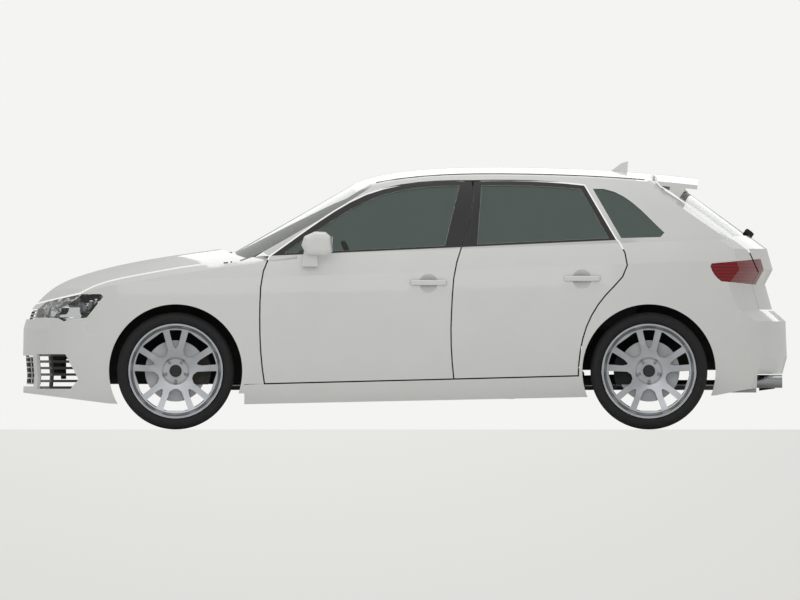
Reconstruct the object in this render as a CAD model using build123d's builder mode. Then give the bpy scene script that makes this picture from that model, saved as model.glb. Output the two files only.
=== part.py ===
"""Five-door hot hatchback, full size, as separate body panels, glass, doors, wheels, suspension and cabin.

Frame: +X forward, +Y to the car's left, +Z up, origin on the floor under the middle of the car. Millimetres.
"""

import os
from math import cos, radians, sin, sqrt

from build123d import *

# Overall sizes
half_length = 2120
rake_angle = 2.1
shut_gap = 7.5
seat_gap = 0.3

# Wheels and axles
front_axle_x = 1273
rear_axle_x = -1354
tyre_radius = 325
tyre_width = 228
rim_radius = 262
track_half = 765
arch_radius = 370
arch_inner_y = 455
spoke_count = 5

# Body widths, measured on tilted levels that run parallel to the shoulder line
lower_levels = [(110, 806), (260, 866), (420, 889), (600, 895), (760, 891), (874, 884)]
shoulder_levels = [(874, 884), (930, 864), (992, 836)]
bonnet_levels = [(992, 836), (1100, 770)]
cabin_levels = [(940, 822), (1000, 797), (1150, 738), (1300, 662), (1400, 598), (1500, 520)]

# Wall thicknesses
panel_wall = 16
bonnet_wall = 24
roof_wall = 38
door_wall = 88
frame_wall = 46
door_flange = 8
door_step = 12
pillar_inset = 126
pillar_wall = 50
side_wall = 150
glass_wall = 5
grille_depth = 18
glass_inset = 9
glass_sink = 2
tailgate_wall = 62
tail_lamp_depth_radius = 1640
spoiler_wall = 24
spoiler_half_width = 548
tailpipe_radius = 36
tailpipe_z = 267
tailpipe_offsets = [425, 510]
diffuser_fins = [45, 135, 225, 315]
door_inner_y = 565
fender_inner_y = 640
rail_wall = 95
roof_split_y = 545
tail_lamp_inner_y = 420
tail_corner_x = -1800
tailgate_foot_z = 662
tail_corner_y = 500
tail_corner_top = 985
head_lamp_inner_y = 400
head_lamp_depth_radius = 1480

# Floor and chassis
sheet_wall = 8
floor_z = 170
boot_floor_z = 330
kick_up_x = -600
firewall_x = 745
firewall_top = 850
tunnel_half = 130
tunnel_top = 330
liner_radius = 396
rail_outer_y = 447
subframe_top = 300
king_pin_y = 672
king_pin = 8
stub_radius = 18
disc_radius = 170
spoke_fillet = 7

# Cabin
seat_y = 370
column_base = (265, 370, 870)
column_run = 300
column_rise = 140
steering_radius = 180
mirror_reach = 1012
grip_length = 200
grip_height = 30
grip_stand = 15
grip_root = 3
grip_bowl_radius = 52
grip_bowl_depth = 17
front_grip = (-131, 888, 815)
rear_grip = (-983, 883, 838)

# Hinges
hinge_setback = 80
hinge_axis_y = 876
hinge_heights = [480, 700]
hinge_pin = 4
hinge_barrel = 9
hinge_fit = 0.05
hinge_reach = 92
hinge_half_height = 20
hinge_room = 8
post_rear_x = 816
post_front_x = 868
bonnet_pin_x = 800
bonnet_pin_z = 905
bonnet_arm_y = 600
tailgate_pin_x = -1382
tailgate_pin_z = 1403
hinge_gutter = 24
tailgate_arm_y = 380

# Plan shape of the lower body and of the cabin: distance from the middle, share of the half width
lower_plan = [
    (2160, 0), (2128, 0.36), (2036, 0.66), (1890, 0.84), (1640, 0.95), (1270, 0.985), (500, 1.0),
    (-400, 1.0), (-1350, 0.985), (-1700, 0.945), (-1930, 0.85), (-2066, 0.67), (-2140, 0.37), (-2165, 0),
]
cabin_plan = [
    (1350, 0.80), (800, 0.945), (300, 0.99), (-200, 1.0), (-800, 0.985), (-1300, 0.935), (-2100, 0.80),
]

# Side silhouettes
nose_profile = [
    (2096, 0), (2119, 215), (2112, 300), (half_length, 405), (2117, 560), (2084, 670), (2040, 708),
    (1700, 1100),
]
tail_profile = [
    (-1980, 0), (-2060, 229), (-2092, 300), (-half_length, 400), (-2112, 600), (-2038, 664), (-1998, 806),
    (-2041, 887), (-2008, 1003), (-1924, 1064), (-1557, 1329), (-1190, 1594),
]
screen_line = [(944, 987), (274, 1368)]
bonnet_line = [
    (2200, 520), (2035, 708), (1960, 777), (1875, 825), (1770, 863), (1521, 925), (1197, 978), (1039, 1000),
    (600, 1050),
]
roof_line = [
    (420, 1290), (274, 1369), (168, 1403), (49, 1424), (-104, 1441), (-416, 1454), (-786, 1450),
    (-1051, 1440), (-1352, 1419), (-1700, 1383),
]
bonnet_edge_drop = 130
roof_edge_drop = 110
cutter_half_width = 950
nose_axis_x = 400
tail_axis_x = -250
screen_radius = 3200
screen_reach = 1000
screen_base_half = 700
screen_top_half = 548
screen_top_gap = 22
turn_sector = 70
outline_steps = 2
cowl_radius = 1680
bonnet_rear_x = 1030
cutter_top = 1900
cutter_reach = 2400

# Shut lines in the side view
bonnet_shut = [(833, 966), (919, 936), (1101, 918), (1388, 875), (1579, 839), (1713, 801), (1803, 757)]
front_door_front = [(752, 962), (788, 871), (805, 702), (797, 385), (780, 254)]
door_split = [(-376, 1381), (-312, 1007), (-282, 906), (-261, 702), (-256, 598), (-261, 386), (-271, 280)]
front_door_top = [(721, 984), (576, 1088), (406, 1204), (194, 1314), (66, 1349), (-104, 1373), (-376, 1381)]
rear_door_top = [(-376, 1381), (-666, 1381), (-880, 1369), (-997, 1357)]
rear_door_rear = [(-997, 1357), (-1172, 1058), (-1190, 1040)]
rear_door_lower = [
    (-1190, 1040), (-1228, 958), (-1234, 915), (-1135, 769), (-1003, 558), (-972, 430), (-962, 298),
]


def level_plane(level):
    """Plane through the middle of the car at that height, tilted down towards the nose by the rake."""
    tilt = radians(rake_angle)
    return Plane(origin=(0, 0, level), x_dir=(cos(tilt), 0, -sin(tilt)), z_dir=(sin(tilt), 0, cos(tilt)))


def plan_ring(level, half_width, plan, round_ends):
    """Closed plan outline at one level, made of one side and its mirror image."""
    with BuildSketch(level_plane(level)) as ring:
        with BuildLine():
            points = [(x, share * half_width) for x, share in plan]
            if round_ends:
                side = Spline(points, tangents=[(0, 1), (0, -1)])
            else:
                side = Spline(points)
                Line(side @ 0, (points[0][0], -points[0][1]))
                Line(side @ 1, (points[-1][0], -points[-1][1]))
            mirror(side, about=Plane.XZ)
        make_face()
    return ring.sketch


def space_beyond(points, axis_x, inset):
    """Everything past a side silhouette that bends round in plan, about an upright axis."""
    outward = 1 if points[0][0] > axis_x else -1
    shifted = []
    for index, (x, z) in enumerate(points):
        before = points[max(index - 1, 0)]
        after = points[min(index + 1, len(points) - 1)]
        run = after[0] - before[0]
        rise = after[1] - before[1]
        shifted.append((x - outward * inset * sqrt(run**2 + rise**2) / rise, z))
    far_x = outward * cutter_reach
    with BuildPart() as beyond:
        with BuildSketch(Plane.XZ):
            with BuildLine():
                Polyline((far_x, points[0][1]), *shifted, (far_x, points[-1][1]), close=True)
            make_face()
        revolve(axis=Axis((axis_x, 0, 0), (0, 0, outward)), revolution_arc=turn_sector)
    return beyond.part


def space_before_screen(inset):
    """Everything outside the windscreen, which is part of a wide cylinder laid along its slope."""
    (base_x, base_z), (top_x, top_z) = screen_line
    slope = Vector(top_x - base_x, 0, top_z - base_z).normalized()
    normal = Vector(slope.Z, 0, -slope.X)
    plane = Plane(origin=(base_x, 0, base_z), x_dir=normal, z_dir=slope)
    with BuildPart() as outside:
        with BuildSketch(plane):
            with Locations((cutter_reach / 8, 0)):
                Rectangle(cutter_reach / 2, 2 * cutter_half_width)
            with Locations((-screen_radius - inset, 0)):
                Circle(screen_radius, mode=Mode.SUBTRACT)
        extrude(amount=screen_reach, both=True)
    return outside.part


def space_above(line, edge_drop, inset):
    """Everything above a long line that falls away towards both sides."""
    sections = []
    for y, drop in [(-cutter_half_width, edge_drop), (0, 0), (cutter_half_width, edge_drop)]:
        with BuildSketch(Plane.XZ.offset(-y)) as section:
            with BuildLine():
                top = Spline([(x, z - drop - inset) for x, z in line])
                Polyline(top @ 1, (line[-1][0], cutter_top), (line[0][0], cutter_top), top @ 0)
            make_face()
        sections.append(section.sketch)
    with BuildPart() as space:
        loft(sections)
    return space.part


def screen_region(grow):
    """Block that stands on the windscreen's slope, with the outline of the glass grown by the amount."""
    (base_x, base_z), (top_x, top_z) = screen_line
    slope = Vector(top_x - base_x, 0, top_z - base_z)
    length = slope.length
    slope = slope.normalized()
    plane = Plane(origin=(base_x, 0, base_z), x_dir=(0, 1, 0), z_dir=(slope.Z, 0, -slope.X))
    corners = [
        (-grow, -grow), (screen_base_half + grow, -grow),
        (screen_top_half + grow, length - screen_top_gap + grow), (-grow, length - screen_top_gap + grow),
    ]
    with BuildPart() as region:
        with BuildSketch(plane):
            with BuildLine():
                Polyline(*corners, close=True)
            make_face()
        extrude(amount=screen_reach / 2, both=True)
    return region.part


def post(x, y, radius, z_low, z_high):
    """Upright cylinder."""
    with BuildPart() as upright:
        with BuildSketch(Plane.XY.offset(z_low)):
            with Locations((x, y)):
                Circle(radius)
        extrude(amount=z_high - z_low)
    return upright.part


def bar(start, end, radius):
    """Round bar between two points."""
    axis = Vector(*end) - Vector(*start)
    with BuildPart() as rod:
        with BuildSketch(Plane(origin=start, z_dir=axis.normalized())):
            Circle(radius)
        extrude(amount=axis.length)
    return rod.part


def slab(x_low, x_high, y_low=-cutter_half_width, y_high=cutter_half_width, z_low=0, z_high=cutter_top):
    """Plain block between limits, for keeping one stretch of the car."""
    with BuildPart() as block:
        with Locations(((x_low + x_high) / 2, (y_low + y_high) / 2, (z_low + z_high) / 2)):
            Box(x_high - x_low, y_high - y_low, z_high - z_low)
    return block.part


def lower_block(inset, x_low, x_high, y_low=0):
    """Lower body from the sills to the belt line between two stations, drawn in by the inset."""
    keep = slab(x_low, x_high, y_low)
    with BuildPart() as below:
        loft([plan_ring(level, width - inset, lower_plan, True) for level, width in lower_levels])
        add(keep, mode=Mode.INTERSECT)
    with BuildPart() as above:
        loft([plan_ring(level, width - inset, lower_plan, True) for level, width in shoulder_levels])
        add(keep, mode=Mode.INTERSECT)
    with BuildPart() as crown:
        loft([plan_ring(level, width - inset, lower_plan, True) for level, width in bonnet_levels])
        add(keep, mode=Mode.INTERSECT)
    with BuildPart() as block:
        add(below.part)
        add(above.part)
        if x_low >= bonnet_line[-1][0]:
            add(crown.part)
        if x_high > bonnet_line[-1][0]:
            add(space_above(bonnet_line, bonnet_edge_drop, inset), mode=Mode.SUBTRACT)
        if x_high > nose_profile[-1][0]:
            add(space_beyond(nose_profile, nose_axis_x, inset), mode=Mode.SUBTRACT)
        if x_low < tail_profile[-1][0]:
            add(space_beyond(tail_profile, tail_axis_x, inset), mode=Mode.SUBTRACT)
    return block.part


def cabin_block(inset, x_low, x_high, y_low=0, top_inset=None):
    """Glasshouse from the belt line to the roof between two stations, drawn in by the inset."""
    if top_inset is None:
        top_inset = inset
    with BuildPart() as block:
        loft([plan_ring(level, width - inset, cabin_plan, False) for level, width in cabin_levels])
        add(slab(x_low, x_high, y_low), mode=Mode.INTERSECT)
        add(space_above(roof_line, roof_edge_drop, top_inset), mode=Mode.SUBTRACT)
        if x_high > screen_line[1][0]:
            add(space_before_screen(top_inset), mode=Mode.SUBTRACT)
        if x_low < tail_profile[-1][0]:
            add(space_beyond(tail_profile, tail_axis_x, inset), mode=Mode.SUBTRACT)
    return block.part


def outline(*curves):
    """Closed run of points in the side view, from curves that follow on from each other."""
    corners = []
    for points in curves:
        if len(points) > 2:
            curve = Spline(*points)
            steps = outline_steps * (len(points) - 1)
            points = [tuple(curve @ (step / steps))[:2] for step in range(steps + 1)]
        corners.extend(points[:-1])
    return corners


def grown(corners, amount):
    """The same run of points with every edge moved outwards by the amount."""
    pairs = list(zip(corners, corners[1:] + corners[:1]))
    turn = sum(x0 * z1 - x1 * z0 for (x0, z0), (x1, z1) in pairs)
    outward = 1 if turn > 0 else -1
    normals = []
    for (x0, z0), (x1, z1) in pairs:
        length = sqrt((x1 - x0) ** 2 + (z1 - z0) ** 2)
        normals.append((outward * (z1 - z0) / length, outward * (x0 - x1) / length))
    moved = []
    for (x, z), (ax, az), (bx, bz) in zip(corners, normals[-1:] + normals[:-1], normals):
        spread = max(1 + ax * bx + az * bz, 0.3)
        moved.append((x + amount * (ax + bx) / spread, z + amount * (az + bz) / spread))
    return moved


def side_region(corners, grow=0, y_low=0, y_high=cutter_half_width):
    """Block with a side outline, which may be grown or shrunk, between two distances from the middle."""
    with BuildPart() as region:
        with BuildSketch(Plane.XZ.offset(-y_high)):
            with BuildLine():
                Polyline(*grown(corners, grow), close=True)
            make_face()
        extrude(amount=y_high - y_low)
    return region.part


def both_sides(left, name):
    """Writes a left piece, and its mirror image as the right piece."""
    export_piece(left, f"{name}_left")
    with BuildPart() as right:
        mirror(left, about=Plane.XZ)
    export_piece(right.part, f"{name}_right")


def export_piece(shape, name):
    shape.label = name
    export_step(shape, f"parts/{name}.step")


def intersection(*shapes):
    """What all of the shapes share."""
    with BuildPart() as shared:
        add(shapes[0])
        for shape in shapes[1:]:
            add(shape, mode=Mode.INTERSECT)
    return shared.part


def less(shape, *cutters):
    """A shape with the cutters taken away."""
    with BuildPart() as rest:
        add(shape)
        add(cutters, mode=Mode.SUBTRACT)
    return rest.part


def joined(*shapes):
    """Shapes fused into one."""
    with BuildPart() as whole:
        for shape in shapes:
            add(shape)
    return whole.part


def mirrored_pair(left):
    """A left piece and its mirror image, as two solids or one where they meet."""
    with BuildPart() as pair:
        add(left)
        mirror(left, about=Plane.XZ)
    return pair.part


def cylinder_across(x, z, radius, y_low, y_high):
    """Cylinder that lies across the car."""
    with BuildPart() as drum:
        with BuildSketch(Plane.XZ.offset(-y_high)):
            with Locations((x, z)):
                Circle(radius)
        extrude(amount=y_high - y_low)
    return drum.part


def grip_bowl(middle):
    """Shallow round bowl behind a door handle."""
    x, skin_y, z = middle
    radius = (grip_bowl_radius**2 + grip_bowl_depth**2) / (2 * grip_bowl_depth)
    with BuildPart() as bowl:
        with Locations((x, skin_y + radius - grip_bowl_depth, z)):
            Sphere(radius)
    return bowl.part


def grip_bar(middle):
    """Door handle that bridges its bowl, rounded on its outer side."""
    x, skin_y, z = middle
    half = grip_length / 2
    low = z - grip_height / 2
    with BuildPart() as grip:
        add(slab(x - half, x + half, skin_y - grip_root, skin_y + grip_stand, low, low + grip_height))
        fillet(grip.edges().filter_by(Axis.Y), grip_height / 3)
        fillet(grip.edges().group_by(Axis.Y)[-1], grip_stand / 2)
    return grip.part


def tailgate_region(grow):
    """Block that the tailgate fills: its side outline, and the stretch between the lamps."""
    low = tailgate_foot_z - grow
    high = tail_corner_top + grow
    return joined(
        side_region(tailgate_face, grow),
        slab(-cutter_reach, tail_corner_x - grow, 0, tail_corner_y + grow, low, high),
    )


# Outlines in the side view
front_door_face = outline(
    front_door_front,
    [front_door_front[-1], door_split[-1]],
    door_split[::-1],
    front_door_top[::-1],
    [front_door_top[0], front_door_front[0]],
)
rear_door_face = outline(
    door_split,
    [door_split[-1], rear_door_lower[-1]],
    rear_door_lower[::-1],
    [rear_door_rear[-1], rear_door_rear[1]],
    [rear_door_rear[1], rear_door_rear[0]],
    rear_door_top[::-1],
)
front_window_face = outline(
    [(676, 977), (540, 1068), (380, 1174), (200, 1272), (66, 1317), (-100, 1344), (-303, 1353)],
    [(-303, 1353), (-222, 1020)],
    [(-222, 1020), (676, 977)],
)
rear_window_face = outline(
    [(-425, 1354), (-700, 1352), (-976, 1334)],
    [(-976, 1334), (-1130, 1062)],
    [(-1130, 1062), (-401, 1028)],
    [(-401, 1028), (-425, 1354)],
)
quarter_window_face = outline(
    [(-1042, 1336), (-1130, 1330), (-1222, 1288), (-1340, 1190), (-1440, 1092)],
    [(-1440, 1092), (-1418, 1068)],
    [(-1418, 1068), (-1200, 1062)],
    [(-1200, 1062), (-1042, 1336)],
)
tailgate_face = outline(
    [(-1366, 1500), (-1388, 1380), (-1466, 1322)],
    [(-1466, 1322), (-1906, 996)],
    [(-1906, 996), (-1988, 812)],
    [(-1988, 812), (-2004, tailgate_foot_z)],
    [(-2004, tailgate_foot_z), (-2300, tailgate_foot_z)],
    [(-2300, tailgate_foot_z), (-2300, 1500)],
    [(-2300, 1500), (-1366, 1500)],
)
rear_bumper_face = outline(
    [(-1560, 60), (-1700, 505)],
    [(-1700, 505), (-1800, 540), (-1853, 640), (-1880, 760)],
    [(-1880, 760), (-1988, 738)],
    [(-1988, 738), (-2004, tailgate_foot_z)],
    [(-2004, tailgate_foot_z), (-2300, tailgate_foot_z)],
    [(-2300, tailgate_foot_z), (-2300, 60)],
    [(-2300, 60), (-1560, 60)],
)
tail_lamp_face = outline(
    [(-1701, 922), (-1990, 948)],
    [(-1990, 948), (-2200, 930)],
    [(-2200, 930), (-2200, 800)],
    [(-2200, 800), (-1994, 800)],
    [(-1994, 800), (-1757, 822)],
    [(-1757, 822), (-1738, 836), (-1695, 906)],
    [(-1695, 906), (-1701, 922)],
)
bonnet_face = outline(
    bonnet_shut,
    [bonnet_shut[-1], (2040, 700)],
    [(2040, 700), (2300, 640)],
    [(2300, 640), (2300, 1300)],
    [(2300, 1300), (820, 1300)],
    [(820, 1300), (820, 966)],
    [(820, 966), bonnet_shut[0]],
)
head_lamp_face = outline(
    [(2060, 694), (1799, 751)],
    [(1799, 751), (1690, 752)],
    [(1690, 752), (1674, 738)],
    [(1674, 738), (1765, 622)],
    [(1765, 622), (1894, 601)],
    [(1894, 601), (1925, 618)],
    [(1925, 618), (2060, 622)],
    [(2060, 622), (2060, 694)],
)
front_bumper_face = outline(
    [(1560, 60), (1560, 524)],
    [(1560, 524), (1765, 524)],
    [(1765, 524), (1782, 545), (1773, 608)],
    [(1773, 608), (1799, 757)],
    [(1799, 757), (2040, 700)],
    [(2040, 700), (2300, 640)],
    [(2300, 640), (2300, 60)],
    [(2300, 60), (1560, 60)],
)
fender_face = outline(
    front_door_front,
    [front_door_front[-1], (892, 250)],
    [(892, 250), (892, 200)],
    [(892, 200), (1560, 200)],
    [(1560, 200), (1560, 524)],
    [(1560, 524), (1765, 524)],
    [(1765, 524), (1782, 545), (1773, 608)],
    [(1773, 608), (1803, 757)],
    bonnet_shut[::-1],
    [bonnet_shut[0], front_door_front[0]],
)
ahead_of_doors = outline(
    [(892, 0), (892, 247)],
    [(892, 247), front_door_front[-1]],
    front_door_front[::-1],
    [front_door_front[0], (833, 1010)],
    [(833, 1010), (1300, 1010)],
    [(1300, 1010), (1300, 0)],
    [(1300, 0), (892, 0)],
)
b_pillar_face = [
    (-331, 1392), (-421, 1392), (-357, 1007), (-306, 598), (-316, 230), (-206, 230), (-211, 598),
    (-267, 1007),
]
under_sill = [(1000, 138), (-450, 168), (-1100, 182), (-1500, 190), (-1900, 220), (-1900, 0), (1000, 0)]

os.makedirs("parts", exist_ok=True)

# Outer skins and the surfaces that lie inside them
side_outer = joined(lower_block(0, -2200, 905), cabin_block(0, -2100, 1100))
door_inner = joined(
    lower_block(door_wall, -1300, 905),
    cabin_block(frame_wall, -1300, 1100, top_inset=roof_wall / 3),
)
flange_inner = joined(lower_block(door_flange, -1300, 905), cabin_block(door_flange, -1300, 1100))
glass_outer = joined(cabin_block(glass_inset, -2100, 1100), lower_block(4 * glass_inset, -1300, 900))
glass_inner = joined(
    cabin_block(glass_inset + glass_wall, -2100, 1100),
    lower_block(4 * glass_inset + glass_wall, -1300, 900),
)
front_outer = lower_block(0, 600, 2200)

front_arch = cylinder_across(front_axle_x, tyre_radius, arch_radius, arch_inner_y, cutter_half_width)
rear_arch = cylinder_across(rear_axle_x, tyre_radius, arch_radius, arch_inner_y, cutter_half_width)
door_openings = joined(side_region(front_door_face, shut_gap / 2), side_region(rear_door_face, shut_gap / 2))

# Doors: a skin with a narrow flange over a deeper box, windows cut, hinge pins in open pockets
dash_corner = slab(560, 905, 0, 715, 800, 1100)
for name, door_face, window_face, shut_line, grip in [
    ("front_door", front_door_face, front_window_face, front_door_front, front_grip),
    ("rear_door", rear_door_face, rear_window_face, door_split, rear_grip),
]:
    pin_x = shut_line[3][0] - hinge_setback
    with BuildPart() as door:
        add(side_region(door_face, -shut_gap / 2, door_inner_y))
        add(side_outer, mode=Mode.INTERSECT)
        flange_waste = less(flange_inner, side_region(door_face, -shut_gap / 2 - door_step))
        door_cuts = [flange_waste, door_inner, dash_corner, side_region(window_face), grip_bowl(grip)]
        add(door_cuts, mode=Mode.SUBTRACT)
        add(grip_bar(grip))
        for height in hinge_heights:
            pocket_low = height - hinge_half_height - hinge_room
            pocket_high = height + hinge_half_height + hinge_room
            pocket_wall = hinge_axis_y + hinge_barrel + 1
            pocket_back = pin_x - hinge_barrel - hinge_room
            pocket = slab(pocket_back, pin_x + 2 * hinge_setback, 0, pocket_wall, pocket_low, pocket_high)
            add(pocket, mode=Mode.SUBTRACT)
            add(post(pin_x, hinge_axis_y, hinge_pin, pocket_low - hinge_room, pocket_high + hinge_room))
    both_sides(door.part, name)
    glass = intersection(side_region(window_face, -seat_gap), glass_outer)
    both_sides(less(glass, glass_inner), f"{name}_glass")

# Front fenders, headlamps and bonnet
screen_space = screen_region(seat_gap)
bonnet_space = side_region(bonnet_face, shut_gap / 2)
lamp_space = side_region(head_lamp_face, seat_gap, head_lamp_inner_y - seat_gap)
front_bumper_space = side_region(front_bumper_face, seat_gap)
skin_inner = lower_block(panel_wall, 600, 2200)
fender = intersection(side_region(fender_face, 0, fender_inner_y), front_outer)
fender = less(fender, skin_inner, front_arch, door_openings, bonnet_space, lamp_space, front_bumper_space)
fender = less(fender, screen_space)
export_piece(mirrored_pair(fender), "front_fenders")
lamp = intersection(side_region(head_lamp_face, 0, head_lamp_inner_y), front_outer)
lamp = less(lamp, post(nose_axis_x, 0, head_lamp_depth_radius, 0, cutter_top), bonnet_space)
export_piece(mirrored_pair(lamp), "headlamps")

bonnet_inner = lower_block(bonnet_wall, 600, 2200)
cowl_space = post(bonnet_rear_x - cowl_radius, 0, cowl_radius, 0, cutter_top)
arm_corners = [
    (790, 900), (846, 800), (918, 800), (968, 846), (1000, 900), (1010, 936),
    (985, 936), (978, 905), (950, 858), (910, 822), (860, 822), (815, 905),
]
arm_far_y = bonnet_arm_y + 10
bonnet_eye = cylinder_across(bonnet_pin_x, bonnet_pin_z, 3 * hinge_barrel / 2, bonnet_arm_y, arm_far_y)
with BuildPart() as bonnet_half:
    add(side_region(bonnet_face, -shut_gap / 2))
    add(front_outer, mode=Mode.INTERSECT)
    add(cowl_space, mode=Mode.SUBTRACT)
    add(bonnet_inner, mode=Mode.SUBTRACT)
    add(side_region(arm_corners, 0, bonnet_arm_y, arm_far_y))
    add(bonnet_eye)
    bore = cylinder_across(bonnet_pin_x, bonnet_pin_z, hinge_pin + hinge_fit, 0, cutter_half_width)
    add(bore, mode=Mode.SUBTRACT)
export_piece(mirrored_pair(bonnet_half.part), "bonnet")

# Front bumper with its openings
upper_grille = slab(1700, 2300, 0, head_lamp_inner_y - 20, 612, 668)
lower_intake = slab(1700, 2300, 0, 430, 240, 410)
corner_intake = side_region([(2140, 418), (1885, 418), (1812, 278), (1856, 226), (2140, 226)], 0, 500)
under_nose = side_region([(1500, 138), (1641, 144), (2125, 205), (2300, 205), (2300, 0), (1500, 0)])
bumper = intersection(side_region(front_bumper_face), front_outer)
bumper = less(bumper, skin_inner, front_arch, bonnet_space, lamp_space, under_nose)
above_lamp = slab(1600, 2300, head_lamp_inner_y - seat_gap, cutter_half_width, 690)
bumper = less(bumper, upper_grille, lower_intake, corner_intake, above_lamp)
export_piece(mirrored_pair(bumper), "front_bumper")

# Body sides: sill, pillars, roof rail and rear quarter in one pressing, with the door hinge arms
tailgate_space = tailgate_region(shut_gap / 2)
tailgate_room = tailgate_region(-shut_gap / 2)
tail_lamp_space = side_region(tail_lamp_face, seat_gap, tail_lamp_inner_y - seat_gap)
body_inner = joined(lower_block(side_wall, -2200, 905), cabin_block(rail_wall, -2100, 1100))
pillar_outer = joined(lower_block(pillar_inset, -700, 100), cabin_block(frame_wall + 10, -700, 100))
pillar_inner = joined(lower_block(pillar_inset + pillar_wall, -700, 100), cabin_block(rail_wall, -700, 100))
tail_corner = slab(-cutter_reach, tail_corner_x, 0, roof_split_y, z_high=tail_corner_top)
side_shell = less(side_outer, body_inner, less(slab(-cutter_reach, 1300, 0, roof_split_y), tail_corner))
side_cuts = [
    door_openings, rear_arch, tailgate_space, tail_lamp_space,
    side_region(ahead_of_doors), side_region(quarter_window_face, seat_gap),
    side_region(rear_bumper_face, seat_gap), side_region(under_sill),
]
with BuildPart() as hinge_arms:
    for shut_line, root_x in [(front_door_front, post_rear_x + 10), (door_split, door_split[3][0] - 20)]:
        pin_x = shut_line[3][0] - hinge_setback
        inner_y = hinge_axis_y - hinge_reach
        for height in hinge_heights:
            low = height - hinge_half_height
            high = height + hinge_half_height
            add(slab(pin_x - hinge_barrel, pin_x + hinge_barrel, inner_y, hinge_axis_y, low, high))
            add(slab(pin_x - hinge_barrel, root_x, inner_y - 2 * hinge_barrel, inner_y, low, high))
            add(post(pin_x, hinge_axis_y, hinge_barrel, low, high))
            add(post(pin_x, hinge_axis_y, hinge_pin + hinge_fit, low, high), mode=Mode.SUBTRACT)
with BuildPart() as body_side:
    add(less(side_shell, *side_cuts))
    add(intersection(side_region(b_pillar_face), less(pillar_outer, pillar_inner)))
    hinge_post = intersection(slab(post_rear_x, post_front_x, 660, cutter_half_width, 180, 945), side_outer)
    add(less(intersection(hinge_post, skin_inner), lower_block(side_wall + 40, 600, 905)))
    add(screen_space, mode=Mode.SUBTRACT)
    add(hinge_arms.part)
export_piece(mirrored_pair(body_side.part), "body_sides")

# Roof with its aerial fin and the tailgate's hinge arms, windscreen and quarter glass
gooseneck_drop = tailgate_wall + 18
gooseneck = [
    (tailgate_pin_x - 8, tailgate_pin_z), (tailgate_pin_x - 8, tailgate_pin_z - gooseneck_drop),
    (tailgate_pin_x + 66, tailgate_pin_z - gooseneck_drop), (tailgate_pin_x + 66, tailgate_pin_z - 10),
    (tailgate_pin_x + 48, tailgate_pin_z - 10), (tailgate_pin_x + 48, tailgate_pin_z - gooseneck_drop + 18),
    (tailgate_pin_x + 8, tailgate_pin_z - gooseneck_drop + 18), (tailgate_pin_x + 8, tailgate_pin_z),
]
fin_corners = [(-1130, 1425), (-1200, 1478), (-1238, 1489), (-1234, 1425)]
with BuildPart() as roof_half:
    add(cabin_block(0, -1500, 420))
    add(cabin_block(roof_wall, -1500, 420), mode=Mode.SUBTRACT)
    add(slab(-2300, 1300, roof_split_y - seat_gap), mode=Mode.SUBTRACT)
    add(slab(-2300, 1300, z_high=1330), mode=Mode.SUBTRACT)
    add(tailgate_space, mode=Mode.SUBTRACT)
    add(screen_space, mode=Mode.SUBTRACT)
    gutter = cylinder_across(tailgate_pin_x, tailgate_pin_z, hinge_gutter, 0, cutter_half_width)
    add(gutter, mode=Mode.SUBTRACT)
    add(side_region(fin_corners, 0, 0, 9))
    add(side_region(gooseneck, 0, tailgate_arm_y, tailgate_arm_y + 14))
    add(cylinder_across(tailgate_pin_x, tailgate_pin_z, 8, tailgate_arm_y, tailgate_arm_y + 14))
    bore = cylinder_across(tailgate_pin_x, tailgate_pin_z, hinge_pin + hinge_fit, 0, cutter_half_width)
    add(bore, mode=Mode.SUBTRACT)
export_piece(mirrored_pair(roof_half.part), "roof")
screen = less(cabin_block(glass_sink, 150, 1100), cabin_block(glass_sink + glass_wall, 150, 1100))
export_piece(mirrored_pair(intersection(screen, screen_region(0))), "windscreen")
quarter_glass = intersection(side_region(quarter_window_face), glass_outer)
export_piece(mirrored_pair(less(quarter_glass, glass_inner)), "quarter_glass")

# Tailgate with its pins in open pockets, rear glass, spoiler and lamps that ride on it
tail_inner = joined(lower_block(tailgate_wall, -2200, -1300), cabin_block(tailgate_wall, -2100, -1300))
with BuildPart() as rear_window:
    with BuildSketch(Plane.YZ.offset(-2200)):
        with BuildLine():
            Polyline((0, 1075), (540, 1075), (455, 1318), (0, 1318), close=True)
        make_face()
    extrude(amount=900)
pocket_low_y = tailgate_arm_y - hinge_room
pocket_high_y = tailgate_arm_y + 14 + hinge_room
with BuildPart() as tailgate_half:
    add(tailgate_room)
    add(side_outer, mode=Mode.INTERSECT)
    add(tail_inner, mode=Mode.SUBTRACT)
    add(rear_window.part, mode=Mode.SUBTRACT)
    add(tail_lamp_space, mode=Mode.SUBTRACT)
    pocket_back = tailgate_pin_x - 2 * hinge_room
    add(slab(pocket_back, -1300, pocket_low_y, pocket_high_y, 1200, tailgate_pin_z + 4), mode=Mode.SUBTRACT)
    pin_low_y = pocket_low_y - hinge_room
    pin_high_y = pocket_high_y + hinge_room
    add(cylinder_across(tailgate_pin_x, tailgate_pin_z, hinge_pin, pin_low_y, pin_high_y))
export_piece(mirrored_pair(tailgate_half.part), "tailgate")
rear_glass = less(
    cabin_block(2 * glass_sink, -2100, -1300),
    cabin_block(2 * glass_sink + glass_wall, -2100, -1300),
)
with BuildPart() as rear_pane:
    add(rear_window.part)
    add(rear_glass, mode=Mode.INTERSECT)
    add(tailgate_room, mode=Mode.INTERSECT)
export_piece(mirrored_pair(rear_pane.part), "tailgate_glass")

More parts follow.
